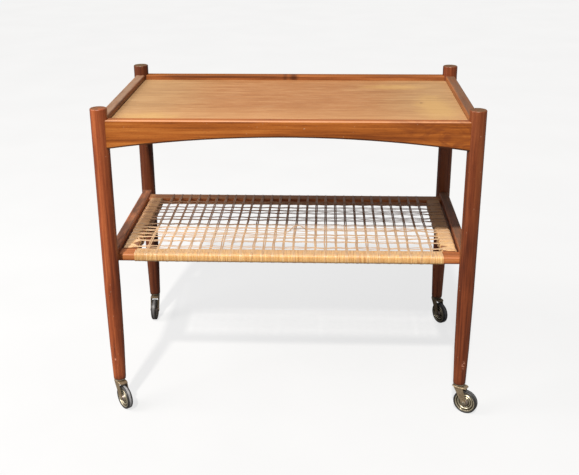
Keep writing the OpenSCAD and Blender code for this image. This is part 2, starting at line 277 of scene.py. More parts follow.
def wood(name, axis, seed, tones, dust=None, dust_amount=0.0,
         rough=0.42, rings=9.0, cloud=1.0, fine=190.0):
    """Teak: growth rings, streaks and pores along the grain, with grey dust and wear on its tops.

    tones are the dark, middle and light colours of the wood; dust is the colour worn tops turn to;
    cloud is how strong the broad figure is beside the streaks, and fine how closely those lie.
    """
    s = Shader(name)
    dark, middle, light = tones
    at = grain_coordinates(s, axis, seed)
    warp = s.noise(stretched(s, at, 2.2, 9.0), 1.0, 4.0, 0.55)
    ring = s.add("TexWave", {"Vector": stretched(s, at, 0.35, 1.0), "Scale": rings,
                             "Distortion": 7.0, "Detail": 3.0, "Detail Scale": 1.2,
                             "Detail Roughness": 0.55},
                 out=1, wave_type="RINGS", rings_direction="X", wave_profile="SIN")
    streaks = s.noise(stretched(s, at, 5.0, fine), 1.0, 5.0, 0.6)
    fibres = s.noise(stretched(s, at, 28.0, 1500.0), 1.0, 3.0, 0.6)
    pores = s.band(s.noise(stretched(s, at, 160.0, 2600.0), 1.0, 1.0), 0.60, 0.72)
    figure = 0.5
    weights = ((warp, 0.50 * cloud), (ring, 0.12 * cloud), (streaks, 0.62), (fibres, 0.26))
    for part, weight in weights:
        figure = s.math("ADD", figure, s.times(s.math("SUBTRACT", part, 0.5), weight))
    colour = s.ramp(figure, (0.35, dark), (0.50, middle), (0.67, light))
    colour = s.mix(s.times(pores, 0.38), colour, tuple(c * 0.35 for c in dark))
    roughness = s.math("ADD", s.times(streaks, 0.22), rough - 0.10)
    if dust is not None:
        up = s.facing_up()
        patches = s.noise(stretched(s, at, 14.0, 60.0), 1.0, 5.0, 0.65)
        cover = s.times(s.band(up, 0.55, 0.98), s.band(patches, 0.22, 0.62))
        cover = s.math("MULTIPLY", cover, dust_amount, clamp=True)
        colour = s.mix(cover, colour, dust)
        roughness = s.math("ADD", roughness, s.times(cover, 0.18))
    s.set(Base_Color=colour, Roughness=roughness, Specular_IOR_Level=0.28)
    s.bump(s.math("SUBTRACT", s.times(fibres, 0.5), pores), 0.35, 0.12 * MM)
    return s


def shaded(tones, shade):
    """The colours, each that many times as bright: how light and shade are painted into whole
    pieces.
    """
    return tuple(tuple(shade * c for c in tone) for tone in tones)


def use(node_names, shader):
    """Gives CAD nodes a material."""
    for name in node_names:
        mesh = frame["nodes"][name].data
        mesh.materials.clear()
        mesh.materials.append(shader.material)


LEG_TONES = (srgb(113, 52, 28), srgb(163, 81, 43), srgb(196, 110, 62))
RAIL_TONES = (srgb(122, 62, 24), srgb(168, 93, 36), srgb(196, 122, 56))
BACK_TONES = (srgb(99, 55, 29), srgb(141, 82, 43), srgb(172, 109, 62))
SHELF_TONES = (srgb(104, 58, 36), srgb(148, 88, 56), srgb(178, 116, 78))
BOARD_TONES = (srgb(130, 68, 34), srgb(174, 100, 54), srgb(202, 130, 76))
TRAY_TONES = (srgb(134, 93, 54), srgb(165, 122, 78), srgb(188, 150, 104))
BEECH_TONES = (srgb(186, 148, 104), srgb(210, 176, 130), srgb(226, 198, 156))
GREY_DUST = srgb(148, 120, 98)
# How bright each leg is beside its tones: painted shade, darkest on the rear left leg and dimmer on
# the right and rear legs, which the light reaches least
LEG_PAINTED_SHADE = (0.86, 0.52, 0.28, 0.52)
# How bright the left and the right stretcher are beside the shelf's tones: painted light, brighter
# on the left where the light comes from; and the dust on these and on the rails above them
STRETCHER_PAINTED_LIGHT = (1.5, 1.25)
STRETCHER_DUST = (srgb(84, 60, 48), srgb(112, 86, 68))
SIDE_RAIL_DUST = (GREY_DUST, srgb(112, 84, 64))
# A painted highlight, a small pale pink glint on the front left leg: its place, half sizes and
# raggedness
PAINTED_GLINT = ((-0.353, -0.224, 0.113), (0.0016, 0.006, 0.0022), 0.8)
# Where a leg is scratched: the place, its half sizes, how fine, how sparse and how pale
LEG_SCRATCHES = {"front_left": ((-0.353, -0.224, 0.118), (0.009, 0.010, 0.040), 800.0, 0.58, 0.50),
                 "front_right": ((0.354, -0.225, 0.112), (0.004, 0.008, 0.009), 380.0, 0.50, 0.85)}
# Yellowish stains on the tray: x, y and half sizes
STAINS = ((-0.27, -0.15, 0.050, 0.030), (0.29, -0.06, 0.035, 0.090), (0.22, 0.13, 0.06, 0.02))
# Knots in the rear rail: x, half width and how dark
REAR_KNOTS = ((-0.021, 0.005, 0.7), (-0.002, 0.009, 0.95))
DIRT = srgb(58, 30, 18)
# The shallow arch under the front rail: how high it rises, and half its width
ARCH_RISE = 24.0 * MM
ARCH_HALF = 338.0 * MM


def speckle(s, pattern, dark, dark_amount, light, light_amount):
    """Darkens the wood where a noise pattern is high, and lightens it where it is low."""
    s.lay_over(s.band(pattern, 0.50, 0.66), dark, dark_amount)
    s.lay_over(s.inverse(s.band(pattern, 0.34, 0.50)), light, light_amount)


def tray_marks(s):
    """The redder middle, the pale ends, a painted highlight that makes the front paler, and the
    stains that use has left on the tray.
    """
    at = s.point()
    tray = (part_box("tray_panel")[0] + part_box("tray_panel")[1]) / 2
    s.lay_over(s.spot(at, tray, (0.21, 0.5, 0.1), 0.5, 0.6), srgb(172, 108, 64), 0.55)
    mottle = s.noise(stretched(s, at, 11.0, 120.0), 1.0, 4.0, 0.65)
    speckle(s, mottle, srgb(120, 78, 44), 0.20, srgb(216, 184, 140), 0.16)
    flecks = s.noise(stretched(s, at, 34.0, 520.0), 1.0, 4.0, 0.7)
    speckle(s, flecks, srgb(116, 74, 42), 0.20, srgb(222, 188, 142), 0.20)
    ends = s.band(s.math("ABSOLUTE", s.part(at, "x")), 0.15, 0.32)
    s.lay_over(ends, srgb(188, 152, 110), 0.34)
    # Painted highlight: the tray made paler towards its front
    front = s.inverse(s.band(s.part(at, "y"), -0.19, -0.04))
    s.lay_over(front, srgb(208, 158, 108), 0.42)
    for x, y, long, deep in STAINS:
        stain = s.spot(at, (x, y, tray.z), (long, deep, 0.1), 1.6, 0.7)
        s.lay_over(stain, srgb(204, 164, 100), 0.45)
    s.lay_over(s.spot(at, (0.265, -0.02, tray.z), (0.003, 0.002, 0.1), 0.6), DIRT)


def small_dents(s):
    """Small pale dents all over a piece of wood."""
    s.lay_over(s.band(s.noise(s.point(), 210.0, 1.0), 0.76, 0.80), srgb(206, 176, 148), 0.55)


def leg_marks(s, corner):
    """Pale scratches in the front legs, a painted highlight on the left one, and dirt around every
    foot.
    """
    at = s.point()
    if corner in LEG_SCRATCHES:
        place, half_sizes, fineness, sparse, amount = LEG_SCRATCHES[corner]
        flakes = s.band(s.noise(at, fineness, 3.0, 0.6), sparse, sparse + 0.12)
        scratches = s.times(s.spot(at, place, half_sizes, 0.5), flakes)
        s.lay_over(scratches, srgb(214, 150, 122), amount)
    if corner == "front_left":
        # Painted highlight: a small pale glint on the front left leg
        s.lay_over(s.spot(at, *PAINTED_GLINT, 0.6), srgb(232, 160, 130), 0.7)
    ragged = s.times(s.noise(at, 120.0, 4.0, 0.6), 0.016)
    height = s.math("ADD", s.part(at, "z"), ragged)
    s.lay_over(s.inverse(s.band(height, 0.068, 0.086)), DIRT, 0.55)


def apron_marks(s):
    """Painted shade along the front rail's lower edge under its arch, and the swirling grain at its
    right end.
    """
    at = s.point()
    swirl = s.band(s.noise(stretched(s, at, 22.0, 44.0), 1.0, 2.0, 0.5, 1.6), 0.42, 0.66)
    right_end = s.spot(at, (0.31, -0.21, 0.58), (0.11, 0.1, 0.1), 0.4, 0.6)
    s.lay_over(s.times(right_end, swirl), srgb(118, 58, 28), 0.6)
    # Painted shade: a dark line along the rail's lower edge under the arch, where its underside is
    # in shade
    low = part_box("front_rail")[0].z
    along = s.part(at, "x")
    arch = s.times(s.times(along, along), ARCH_RISE / ARCH_HALF ** 2)
    over_edge = s.math("ADD", s.math("SUBTRACT", s.part(at, "z"), low + ARCH_RISE), arch)
    s.lay_over(s.inverse(s.band(over_edge, 1.6 * MM, 3.4 * MM)), srgb(52, 28, 18), 0.9)


def front_edge_highlight_and_seam(s):
    """The front rail's top: a painted highlight along its rounded outer edge, and dark where it
    meets the tray.
    """
    depth = s.part(s.point(), "y")
    on_top = s.band(s.facing_up(), 0.25, 0.60)
    outer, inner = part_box("front_rail")[0].y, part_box("front_rail")[1].y
    # Painted highlight along the rounded outer edge of the top
    edge = s.inverse(s.band(depth, outer + 3.0 * MM, outer + 5.5 * MM))
    s.lay_over(s.times(on_top, edge), srgb(206, 148, 106), 0.8)
    seam = s.band(depth, inner - 4.0 * MM, inner - 2.0 * MM)
    s.lay_over(s.times(on_top, seam), srgb(112, 58, 26), 0.7)


def dress_frame():
    """Gives each wooden CAD node its own material."""
    for seed, corner in enumerate(CORNERS):
        # Painted shade: each leg's tones darkened by how little light reaches it
        tones = shaded(LEG_TONES, LEG_PAINTED_SHADE[seed])
        leg = wood(corner + "_leg", "z", 3.1 + seed * 2.3, tones, srgb(98, 76, 44), 0.8,
                   rough=0.38, cloud=0.8)
        leg.set(Specular_IOR_Level=0.42)
        small_dents(leg)
        leg_marks(leg, corner)
        use([corner + "_leg"], leg)
    front = wood("front_rail", "x", 1.7, RAIL_TONES, rough=0.36, cloud=0.45)
    front_edge_highlight_and_seam(front)
    apron_marks(front)
    small_dents(front)
    use(["front_rail"], front)
    rear = wood("rear_rail", "x", 5.9, BACK_TONES, srgb(138, 80, 30), 0.9, rough=0.52, cloud=0.7)
    rear.set(Specular_IOR_Level=0.12)
    at = rear.point()
    for x, long, depth in REAR_KNOTS:
        knot = rear.spot(at, (x, 0.21, 0.607), (long, 0.03, 0.006), 0.8, 0.7)
        rear.lay_over(knot, srgb(74, 40, 22), depth)
    use(["rear_rail"], rear)
    for seed, side in enumerate(("left", "right")):
        rail, stretcher, slat = (side + part for part in ("_rail", "_stretcher", "_slat"))
        dust, shade = SIDE_RAIL_DUST[seed], STRETCHER_PAINTED_LIGHT[seed]
        use([rail], wood(rail, "y", 8.3 + seed * 3.1, BACK_TONES, dust, 0.9, rough=0.44))
        # Painted light: each stretcher's tones brightened for its side, most on the left
        tones, dust = shaded(SHELF_TONES, shade), STRETCHER_DUST[seed]
        use([stretcher], wood(stretcher, "y", 14.2 + seed * 2.7, tones, dust, 0.9, cloud=0.6))
        use([slat], wood(slat, "y", 19.5 + seed * 1.9, SHELF_TONES, GREY_DUST, 0.5))
    for name, seed, dust, amount in (("shelf_front_rail", 24.1, srgb(172, 108, 68), 0.7),
                                     ("shelf_rear_rail", 28.6, srgb(166, 122, 86), 0.85)):
        use([name], wood(name, "x", seed, BOARD_TONES, dust, amount))
    tray = wood("tray_panel", "x", 33.3, TRAY_TONES, rough=0.55, rings=5.0, cloud=0.3, fine=90.0)
    tray_marks(tray)
    use(["tray_panel"], tray)
    beech = wood("beech", "x", 40.2, BEECH_TONES, rough=0.6)
    use(["front_cleat", "rear_cleat", "shelf_dowels"], beech)


# ---------------------------------------------------------------- cane

STRAND_WIDTH = 2.6 * MM
PAIR_HALF = 1.4 * MM
STRAND_THICK = 0.9 * MM
WINDING_PITCH = 2.66 * MM
WINDING_THICK = 1.0 * MM
WARP_COUNT = 28
# Where the pairs of strands that run from left to right lie, from the front
WEFT_ROWS = tuple(y * MM for y in (-147, -115, -93, -75, -54, -38, -17,
                                   12, 29, 57, 73, 93, 118, 130))
# The row whose front strand has slipped, and where the larger cells near the front lie
LOOSE_ROW = 4
OPEN_CELLS = (-0.080, 0.015, 0.255)


def smooth(value, low, high):
    """0 below low, 1 above high, smooth between."""
    t = min(max((value - low) / (high - low), 0.0), 1.0)
    return t * t * (3.0 - 2.0 * t)


def bell(value, middle, width):
    """1 at the middle, and down to 0.37 at width from it."""
    return math.exp(-((value - middle) / width) ** 2)


def wander(*place):
    """Smooth noise from about -1 to 1 that depends only on the place."""
    return noise.noise(Vector(place)) * 1.6


WINDING_TONES = (srgb(180, 126, 74), srgb(227, 176, 113), srgb(250, 215, 152))
WEB_TONES = (srgb(160, 120, 84), srgb(206, 166, 124), srgb(238, 208, 166))


def cane(name, tones, dust, dust_amount):
    """Glossy split cane: each strand its own gold, with fibres, nodes, and a pale colour on its
    top: dust, and on the winding also a painted sheen.
    """
    s = Shader(name)
    strand = s.add("UVMap", uv_map="strand")
    shade, fibres, nodes = (s.add("Mapping", {"Vector": strand, "Scale": scale})
                            for scale in ((14.0, 3.7, 1.0), (60.0, 26.0, 1.0), (34.0, 0.9, 1.0)))
    shade, fibres = s.noise(shade, 1.0, 3.0, 0.6), s.noise(fibres, 1.0, 3.0, 0.6)
    nodes = s.band(s.noise(nodes, 1.0, 0.0), 0.73, 0.77)
    figure = s.math("ADD", s.times(shade, 0.75), s.times(fibres, 0.25))
    colour = s.ramp(figure, (0.34, tones[0]), (0.50, tones[1]), (0.68, tones[2]))
    colour = s.mix(s.times(nodes, 0.5), colour, tones[0])
    up = s.facing_up()
    patches = s.noise(s.point(), 90.0, 4.0, 0.6)
    cover = s.times(s.band(up, 0.3, 0.95), s.band(patches, 0.25, 0.6))
    cover = s.math("MULTIPLY", cover, dust_amount, clamp=True)
    colour = s.mix(cover, colour, dust)
    s.set(Base_Color=colour, Roughness=s.math("ADD", s.times(cover, 0.25), 0.30))
    s.set(Specular_IOR_Level=0.5)
    s.bump(fibres, 0.3, 0.08 * MM)
    return s


def paint_shade_on_rear_of_winding(s):
    """Painted shade: the winding on the side boards darkened to brown towards the rear, in the
    tray's shadow.
    """
    s.lay_over(s.band(s.part(s.point(), "y"), -0.12, 0.0), srgb(150, 98, 60), 0.50)


def paint_shade_on_rear_of_web(s):
    """Painted shade: the web darkened to brown towards the rear, and the loops on the rear board
    all over, in the tray's shadow.
    """
    depth = s.part(s.point(), "y")
    loops = s.band(depth, WEB_HIGH.y - 4.0 * MM, WEB_HIGH.y + 1.0 * MM)
    s.lay_over(s.times(s.band(depth, -0.05, 0.03), s.inverse(loops)), srgb(134, 84, 56), 0.62)
    s.lay_over(loops, srgb(146, 92, 54), 0.7)


class Strands:
    """Collects strands of cane, ribbons with a flat back and a rounded face, into one piece."""
    FACE = 6

    def __init__(self, name):
        self.name = name
        self.points, self.faces, self.uvs = [], [], []
        self.count = 0
        angles = [math.pi * k / (self.FACE - 1) for k in range(self.FACE)]
        self.section = [(0.5 * math.cos(a), 0.42 + 0.58 * math.sin(a)) for a in angles]
        self.section += [(-0.44, 0.0), (0.44, 0.0)]

    def add(self, path, looks, width, thick):
        """Sweeps a strand along path; at each point its rounded face looks the way in looks."""
        self.count += 1
        size, first = len(self.section), len(self.points)
        lengths = [0.0]
        for i, point in enumerate(path):
            ahead = (path[min(i + 1, len(path) - 1)] - path[max(i - 1, 0)]).normalized()
            across = ahead.cross(looks[i]).normalized()
            out = across.cross(ahead)
            wide = width[i] if isinstance(width, list) else width
            self.points += [point + across * (x * wide) + out * (y * thick)
                            for x, y in self.section]
            if i:
                lengths.append(lengths[-1] + (point - path[i - 1]).length)
        edges = [self.count + 0.9 * k / size for k in range(size + 1)]
        for i in range(len(path) - 1):
            for k in range(size):
                a, b = first + i * size + k, first + i * size + (k + 1) % size
                self.faces.append((a, b, b + size, a + size))
                self.uvs += [(lengths[i], edges[k]), (lengths[i], edges[k + 1]),
                             (lengths[i + 1], edges[k + 1]), (lengths[i + 1], edges[k])]
        last = first + (len(path) - 1) * size
        ends = ((range(first + size - 1, first - 1, -1), 0.0),
                (range(last, last + size), lengths[-1]))
        for ring, length in ends:
            self.faces.append(tuple(ring))
            self.uvs += [(length, self.count + 0.45)] * size

    def build(self, material, *replaced):
        """Makes the strands one piece, in place of the CAD nodes replaced."""
        mesh = bpy.data.meshes.new(self.name)
        mesh.from_pydata(self.points, [], self.faces)
        layer = mesh.uv_layers.new(name="strand")
        layer.data.foreach_set("uv", [value for uv in self.uvs for value in uv])
        return make_piece(self.name, mesh, material, "frame", replaced)


def make_piece(name, mesh, material, body, replaced):
    """Turns a mesh into a piece that rides on a body and stands for the CAD nodes it replaces."""
    face_outward(mesh)
    mesh.shade_smooth()
    mesh.materials.append(material)
    piece = bpy.data.objects.new(name, mesh)
    bpy.context.scene.collection.objects.link(piece)
    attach(piece, body)
    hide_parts(*replaced)
    return piece


def face_outward(mesh):
    """Turns every face of a closed mesh to look outward."""
    work = bmesh.new()
    work.from_mesh(mesh)
    bmesh.ops.recalc_face_normals(work, faces=work.faces)
    work.to_mesh(mesh)
    work.free()


class Board:
    """A board of the shelf frame: the way around its section, for the cane that goes over it."""

    def __init__(self, node, along, radius):
        low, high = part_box(node)
        across = 1 if along == "x" else 0
        self.along, self.radius = along, radius
        self.middle = (low[across] + high[across]) / 2
        self.half = (high[across] - low[across]) / 2
        self.low, self.high = low.z, high.z
        self.outward = math.copysign(1.0, self.middle)

    def way_round(self, gap, corners=4, steps=4, across_top=0):
        """Points around the section, from the web outward over the top and back underneath.

        Each is (distance outward from the middle, height) and the way the surface looks there;
        across_top is how many extra points lie on the flat of the top.
        """
        r = self.radius + gap
        side, low, high = self.half + gap - r, self.low - gap + r, self.high + gap - r
        on_top = (side * (2 * j / (across_top + 1) - 1) for j in range(1, across_top + 1))
        way = [((u, high + r), (0.0, 1.0)) for u in on_top]
        centres = ((side, high), (side, low), (-side, low), (-side, high))
        for k, (u, v) in enumerate(centres[:corners]):
            for step in range(steps + 1):
                angle = math.radians(90.0 * (1 - k - step / steps))
                look = (math.cos(angle), math.sin(angle))
                way.append(((u + r * look[0], v + r * look[1]), look))
        return way

    def place(self, along, u, v):
        """The point that lies along the board, u outward from its middle and v high."""
        across = self.middle + self.outward * u
        return Vector((along, across, v)) if self.along == "x" else Vector((across, along, v))

    def look(self, u, v):
        """The direction with u outward and v upward."""
        across = self.outward * u
        return Vector((0.0, across, v)) if self.along == "x" else Vector((across, 0.0, v))


def wind(strands, board, reach, seed, gather=None):
    """Winds one long strand around a board; gather may shift a turn at (along, outward share)."""
    way = board.way_round(0.1 * MM, across_top=4)
    turns = int(2 * reach / WINDING_PITCH)
    path, looks = [], []
    for turn in range(turns):
        for k, ((u, v), look) in enumerate(way):
            along = -reach + (turn + (k + 0.5) / len(way)) * 2 * reach / turns
            if gather:
                along += gather(along, 0.5 - 0.5 * u / board.half)
            along += 0.18 * MM * wander(along * 900.0, seed, look[1])
            lift = 0.22 * MM * max(wander(along * 300.0, seed + 4.0, look[0] * 2.0), 0.0)
            path.append(board.place(along, u + lift * look[0], v + lift * look[1]))
            looks.append(board.look(*look))
    strands.add(path, looks, WINDING_PITCH, WINDING_THICK)


def gatherer(most, start):
    """In front of start, pulls a side board's turns towards the nearest row at the inner edge."""
    def gather(along, inner):
        nearest = min(WEFT_ROWS, key=lambda row: abs(row - along))
        loose = most * smooth(start - along, 0.0, 0.09)
        return (nearest - along) * loose * smooth(inner, 0.45, 0.95)
    return gather


FRONT = Board("shelf_front_rail", "x", 5 * MM)
REAR = Board("shelf_rear_rail", "x", 5 * MM)
LEFT = Board("left_slat", "y", 4 * MM)
RIGHT = Board("right_slat", "y", 4 * MM)
WEB_LOW, WEB_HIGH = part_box("cane_web")
WARP_PITCH = (WEB_HIGH.x - WEB_LOW.x) / (WARP_COUNT + 1)
WEB_Z = FRONT.high + 0.25 * MM
OVER_UNDER = 0.5 * MM


def row_phase(y):
    """How many rows of the web lie in front of y, as a smooth number."""
    rows = WEFT_ROWS
    k = max(min(sum(row <= y for row in rows) - 1, len(rows) - 2), 0)
    return k + (y - rows[k]) / (rows[k + 1] - rows[k])


def open_cells(x, y):
    """How far the strands are pushed apart around the larger cells near the front."""
    push = sum(math.copysign(1.0, x - middle) * bell(x, middle, 0.024) for middle in OPEN_CELLS)
    return 3.0 * MM * push * smooth(-y, 0.0, 0.09)


def warp_strand(strands, k, side):
    """A strand from under the front board, through the web and around the rear board."""
    home = WEB_LOW.x + k * WARP_PITCH + side * PAIR_HALF
    home += 0.9 * MM * wander(k * 3.3, side * 0.1, 1.0)
    path, looks = [], []
    for (u, v), look in reversed(FRONT.way_round(WINDING_THICK - 0.25 * MM, 3)):
        sunk = 0.45 * MM * smooth(look[0], 0.2, 0.9)
        path.append(FRONT.place(home, u - sunk, v))
        looks.append(FRONT.look(*look))
    steps = 4 * len(WEFT_ROWS)
    for i in range(steps + 1):
        y = WEB_LOW.y + (WEB_HIGH.y - WEB_LOW.y) * i / steps
        loose = 0.35 + 1.1 * smooth(-y, -0.03, 0.12)
        shift = loose * 0.8 * MM * wander(y * 26.0, k * 1.9, side * 0.25) + open_cells(home, y)
        weave = OVER_UNDER * (-1) ** k * math.cos(math.pi * row_phase(y))
        path.append(Vector((home + shift, y, WEB_Z + weave)))
        looks.append(Vector((0.0, 0.0, 1.0)))
    widths = [STRAND_WIDTH] * len(path)
    for (u, v), look in REAR.way_round(0.1 * MM, 4)[:-3]:
        path.append(REAR.place(home - 0.5 * side * PAIR_HALF, u, v))
        looks.append(REAR.look(*look))
        widths.append(0.36 * STRAND_WIDTH)
    strands.add(path, looks, widths, 0.8 * STRAND_THICK)


def weft_strand(strands, m, side):
    """A strand from under the left side board, through the web and around the right one."""
    row = WEFT_ROWS[m]
    front = smooth(-row, -0.03, 0.11)
    home = row + side * PAIR_HALF
    path, looks = [], []
    over_winding = WINDING_THICK + 0.2 * MM
    for (u, v), look in reversed(LEFT.way_round(over_winding, 3)):
        path.append(LEFT.place(home, u, v))
        looks.append(LEFT.look(*look))
    steps = 4 * WARP_COUNT
    for i in range(steps + 1):
        x = WEB_LOW.x + (WEB_HIGH.x - WEB_LOW.x) * i / steps
        inside = smooth(0.306 - abs(x), 0.0, 0.03)
        spread = side * front * 3.6 * MM * (0.5 + 0.5 * wander(x * 13.0, m * 4.1, 0.3))
        spread += side * (1.0 - front) * 2.4 * MM * smooth(x, -0.12, 0.10)
        wave = (0.4 + 1.7 * front) * MM * wander(x * 21.0, m * 2.3, side * 0.5)
        hump = 0.0
        if m == LOOSE_ROW and side < 0:
            # Forward on the left and back on the right, over a hump where it crosses its pair
            wave += (-9.0 + 21.0 * smooth(x, -0.008, 0.012)) * MM
            hump = 9.5 * MM * bell(x, 0.014, 0.015)
        weave = -OVER_UNDER * (-1) ** m * math.cos(math.pi * (x - WEB_LOW.x) / WARP_PITCH)
        path.append(Vector((x, home + inside * (spread + wave), WEB_Z + weave + hump)))
        looks.append(Vector((0.0, 0.0, 1.0)))
    for (u, v), look in RIGHT.way_round(over_winding, 3):
        path.append(RIGHT.place(home, u, v))
        looks.append(RIGHT.look(*look))
    strands.add(path, looks, STRAND_WIDTH, STRAND_THICK)


# The side boards: each with its seed, how far its turns are pulled together and in front of
# which y they are
SIDE_BOARDS = {"left": (LEFT, 2.0, 0.74, 0.02), "right": (RIGHT, 3.0, 0.60, -0.08)}


def add_cane():
    """The cane wound around three boards, and the web with its loops on the fourth."""
    # The winding's pale top colour is dust and a painted sheen
    winding_cane = cane("cane_winding", WINDING_TONES, srgb(208, 178, 144), 0.7)
    # Painted shade on the rear of the side boards' winding
    paint_shade_on_rear_of_winding(winding_cane)
    winding_cane = winding_cane.material
    web_cane = cane("cane_web", WEB_TONES, srgb(190, 166, 142), 0.3)
    # Painted shade on the rear of the web and on the loops
    paint_shade_on_rear_of_web(web_cane)
    front = Strands("front_board_winding")
    wind(front, FRONT, RIGHT.middle - RIGHT.half, 1.0)
    front.build(winding_cane, "front_rail_wrap")
    for side, (board, seed, most, start) in SIDE_BOARDS.items():
        winding = Strands(side + "_slat_winding")
        wind(winding, board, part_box(side + "_slat_wrap")[1].y, seed, gatherer(most, start))
        winding.build(winding_cane, side + "_slat_wrap")
    web = Strands("cane_web_strands")
    for side in (-1, 1):
        for k in range(1, WARP_COUNT + 1):
            warp_strand(web, k, side)
        for m in range(len(WEFT_ROWS)):
            weft_strand(web, m, side)
    web.build(web_cane.material, "cane_web", "rear_rail_loops")


# ---------------------------------------------------------------- casters

# How bright the casters' metal is at the front and at the rear: painted shade, darker at the rear,
# where the casters stand in the shadow of the shelf and the tray
CASTER_PAINTED_SHADE = {"front": 1.0, "rear": 0.5}
# The dark grooves between the rings of a wheel: the radius and half width of each
GROOVES = ((8.8 * MM, 1.0 * MM), (12.4 * MM, 1.2 * MM), (17.6 * MM, 1.3 * MM))


def metal(name, dull, bright, rough, grime, grime_amount=0.7, shade=1.0):
    """Old plated metal: blotches of tarnish, grime, and a finely scratched surface."""
    # shade darkens the whole metal: painted shade
    dull, bright, grime = shaded((dull, bright, grime), shade)
    s = Shader(name)
    at = s.point()
    blotches = s.noise(at, 240.0, 5.0, 0.65, 0.6)
    fine = s.noise(at, 2400.0, 3.0, 0.6)
    s.set(Base_Color=s.ramp(blotches, (0.36, dull), (0.62, bright)))
    s.set(Metallic=s.math("ADD", 0.45, s.times(blotches, 0.6), clamp=True))
    dirt = s.times(s.band(s.noise(at, 420.0, 4.0, 0.6), 0.52, 0.70), grime_amount)
    s.lay_over(dirt, grime)
    roughness = s.math("ADD", s.times(blotches, 0.20), s.times(dirt, 0.25))
    s.set(Roughness=s.math("ADD", roughness, rough - 0.10))
    s.bump(fine, 0.25, 0.05 * MM)
    return s


def wheel_metal(end):
    """Nickel that has gone dark in the grooves between the wheel's rings."""
    # Darkened at the rear by the casters' painted shade
    s = metal(end + "_wheel_nickel", srgb(168, 156, 128), srgb(232, 222, 196), 0.34,
              srgb(96, 84, 64), 0.5, CASTER_PAINTED_SHADE[end])
    across = s.add("VectorMath", {0: s.point(), 1: (1.0, 1.0, 0.0)}, operation="MULTIPLY")
    radius = s.add("VectorMath", {0: across}, out=1, operation="LENGTH")
    for groove, half in GROOVES:
        off = s.math("ABSOLUTE", s.math("SUBTRACT", radius, groove))
        s.lay_over(s.inverse(s.band(off, half * 0.4, half * 1.4)), srgb(48, 40, 30), 0.9)
    boss = s.inverse(s.band(radius, 7.0 * MM, 7.6 * MM))
    s.lay_over(boss, srgb(150, 136, 142), 0.7)
    return s.material


def rubber(corner):
    """Old black rubber, grey on its tread: dust, and on the front left wheel mostly a painted
    highlight.
    """
    s = Shader(corner + "_rubber")
    at = s.point()
    scuffs = s.noise(at, 700.0, 4.0, 0.65)
    s.set(Base_Color=s.ramp(scuffs, (0.35, srgb(30, 29, 28)), (0.70, srgb(62, 60, 58))))
    tread = s.inverse(s.band(s.math("ABSOLUTE", s.part(at, "z")), 1.2 * MM, 3.0 * MM))
    # Painted highlight: the front left tread is painted far paler than the dust on the others
    tread_dust_and_highlight = 0.85 if corner == "front_left" else 0.22
    pale_tread = s.times(s.band(s.noise(at, 260.0, 4.0, 0.6), 0.26, 0.52), tread_dust_and_highlight)
    s.lay_over(s.times(tread, pale_tread), srgb(172, 172, 174))
    s.set(Roughness=s.math("ADD", s.times(scuffs, 0.25), 0.32))
    s.bump(scuffs, 0.3, 0.08 * MM)
    return s.material


def turned_mesh(name, outline, segments=96):
    """A mesh turned around its own Z axis from a closed outline of (radius, height) points."""
    points, faces = [], []
    for i in range(segments):
        angle = 2 * math.pi * i / segments
        points += [(r * math.cos(angle), r * math.sin(angle), z) for r, z in outline]
    size = len(outline)
    for i in range(segments):
        here, there = i * size, (i + 1) % segments * size
        for k in range(size):
            following = (k + 1) % size
            faces.append((here + k, there + k, there + following, here + following))
    mesh = bpy.data.meshes.new(name)
    mesh.from_pydata(points, [], faces)
    return mesh


def mirrored(half):
    """A closed outline from the half of it above the middle."""
    return half + [(r, -z) for r, z in reversed(half)]


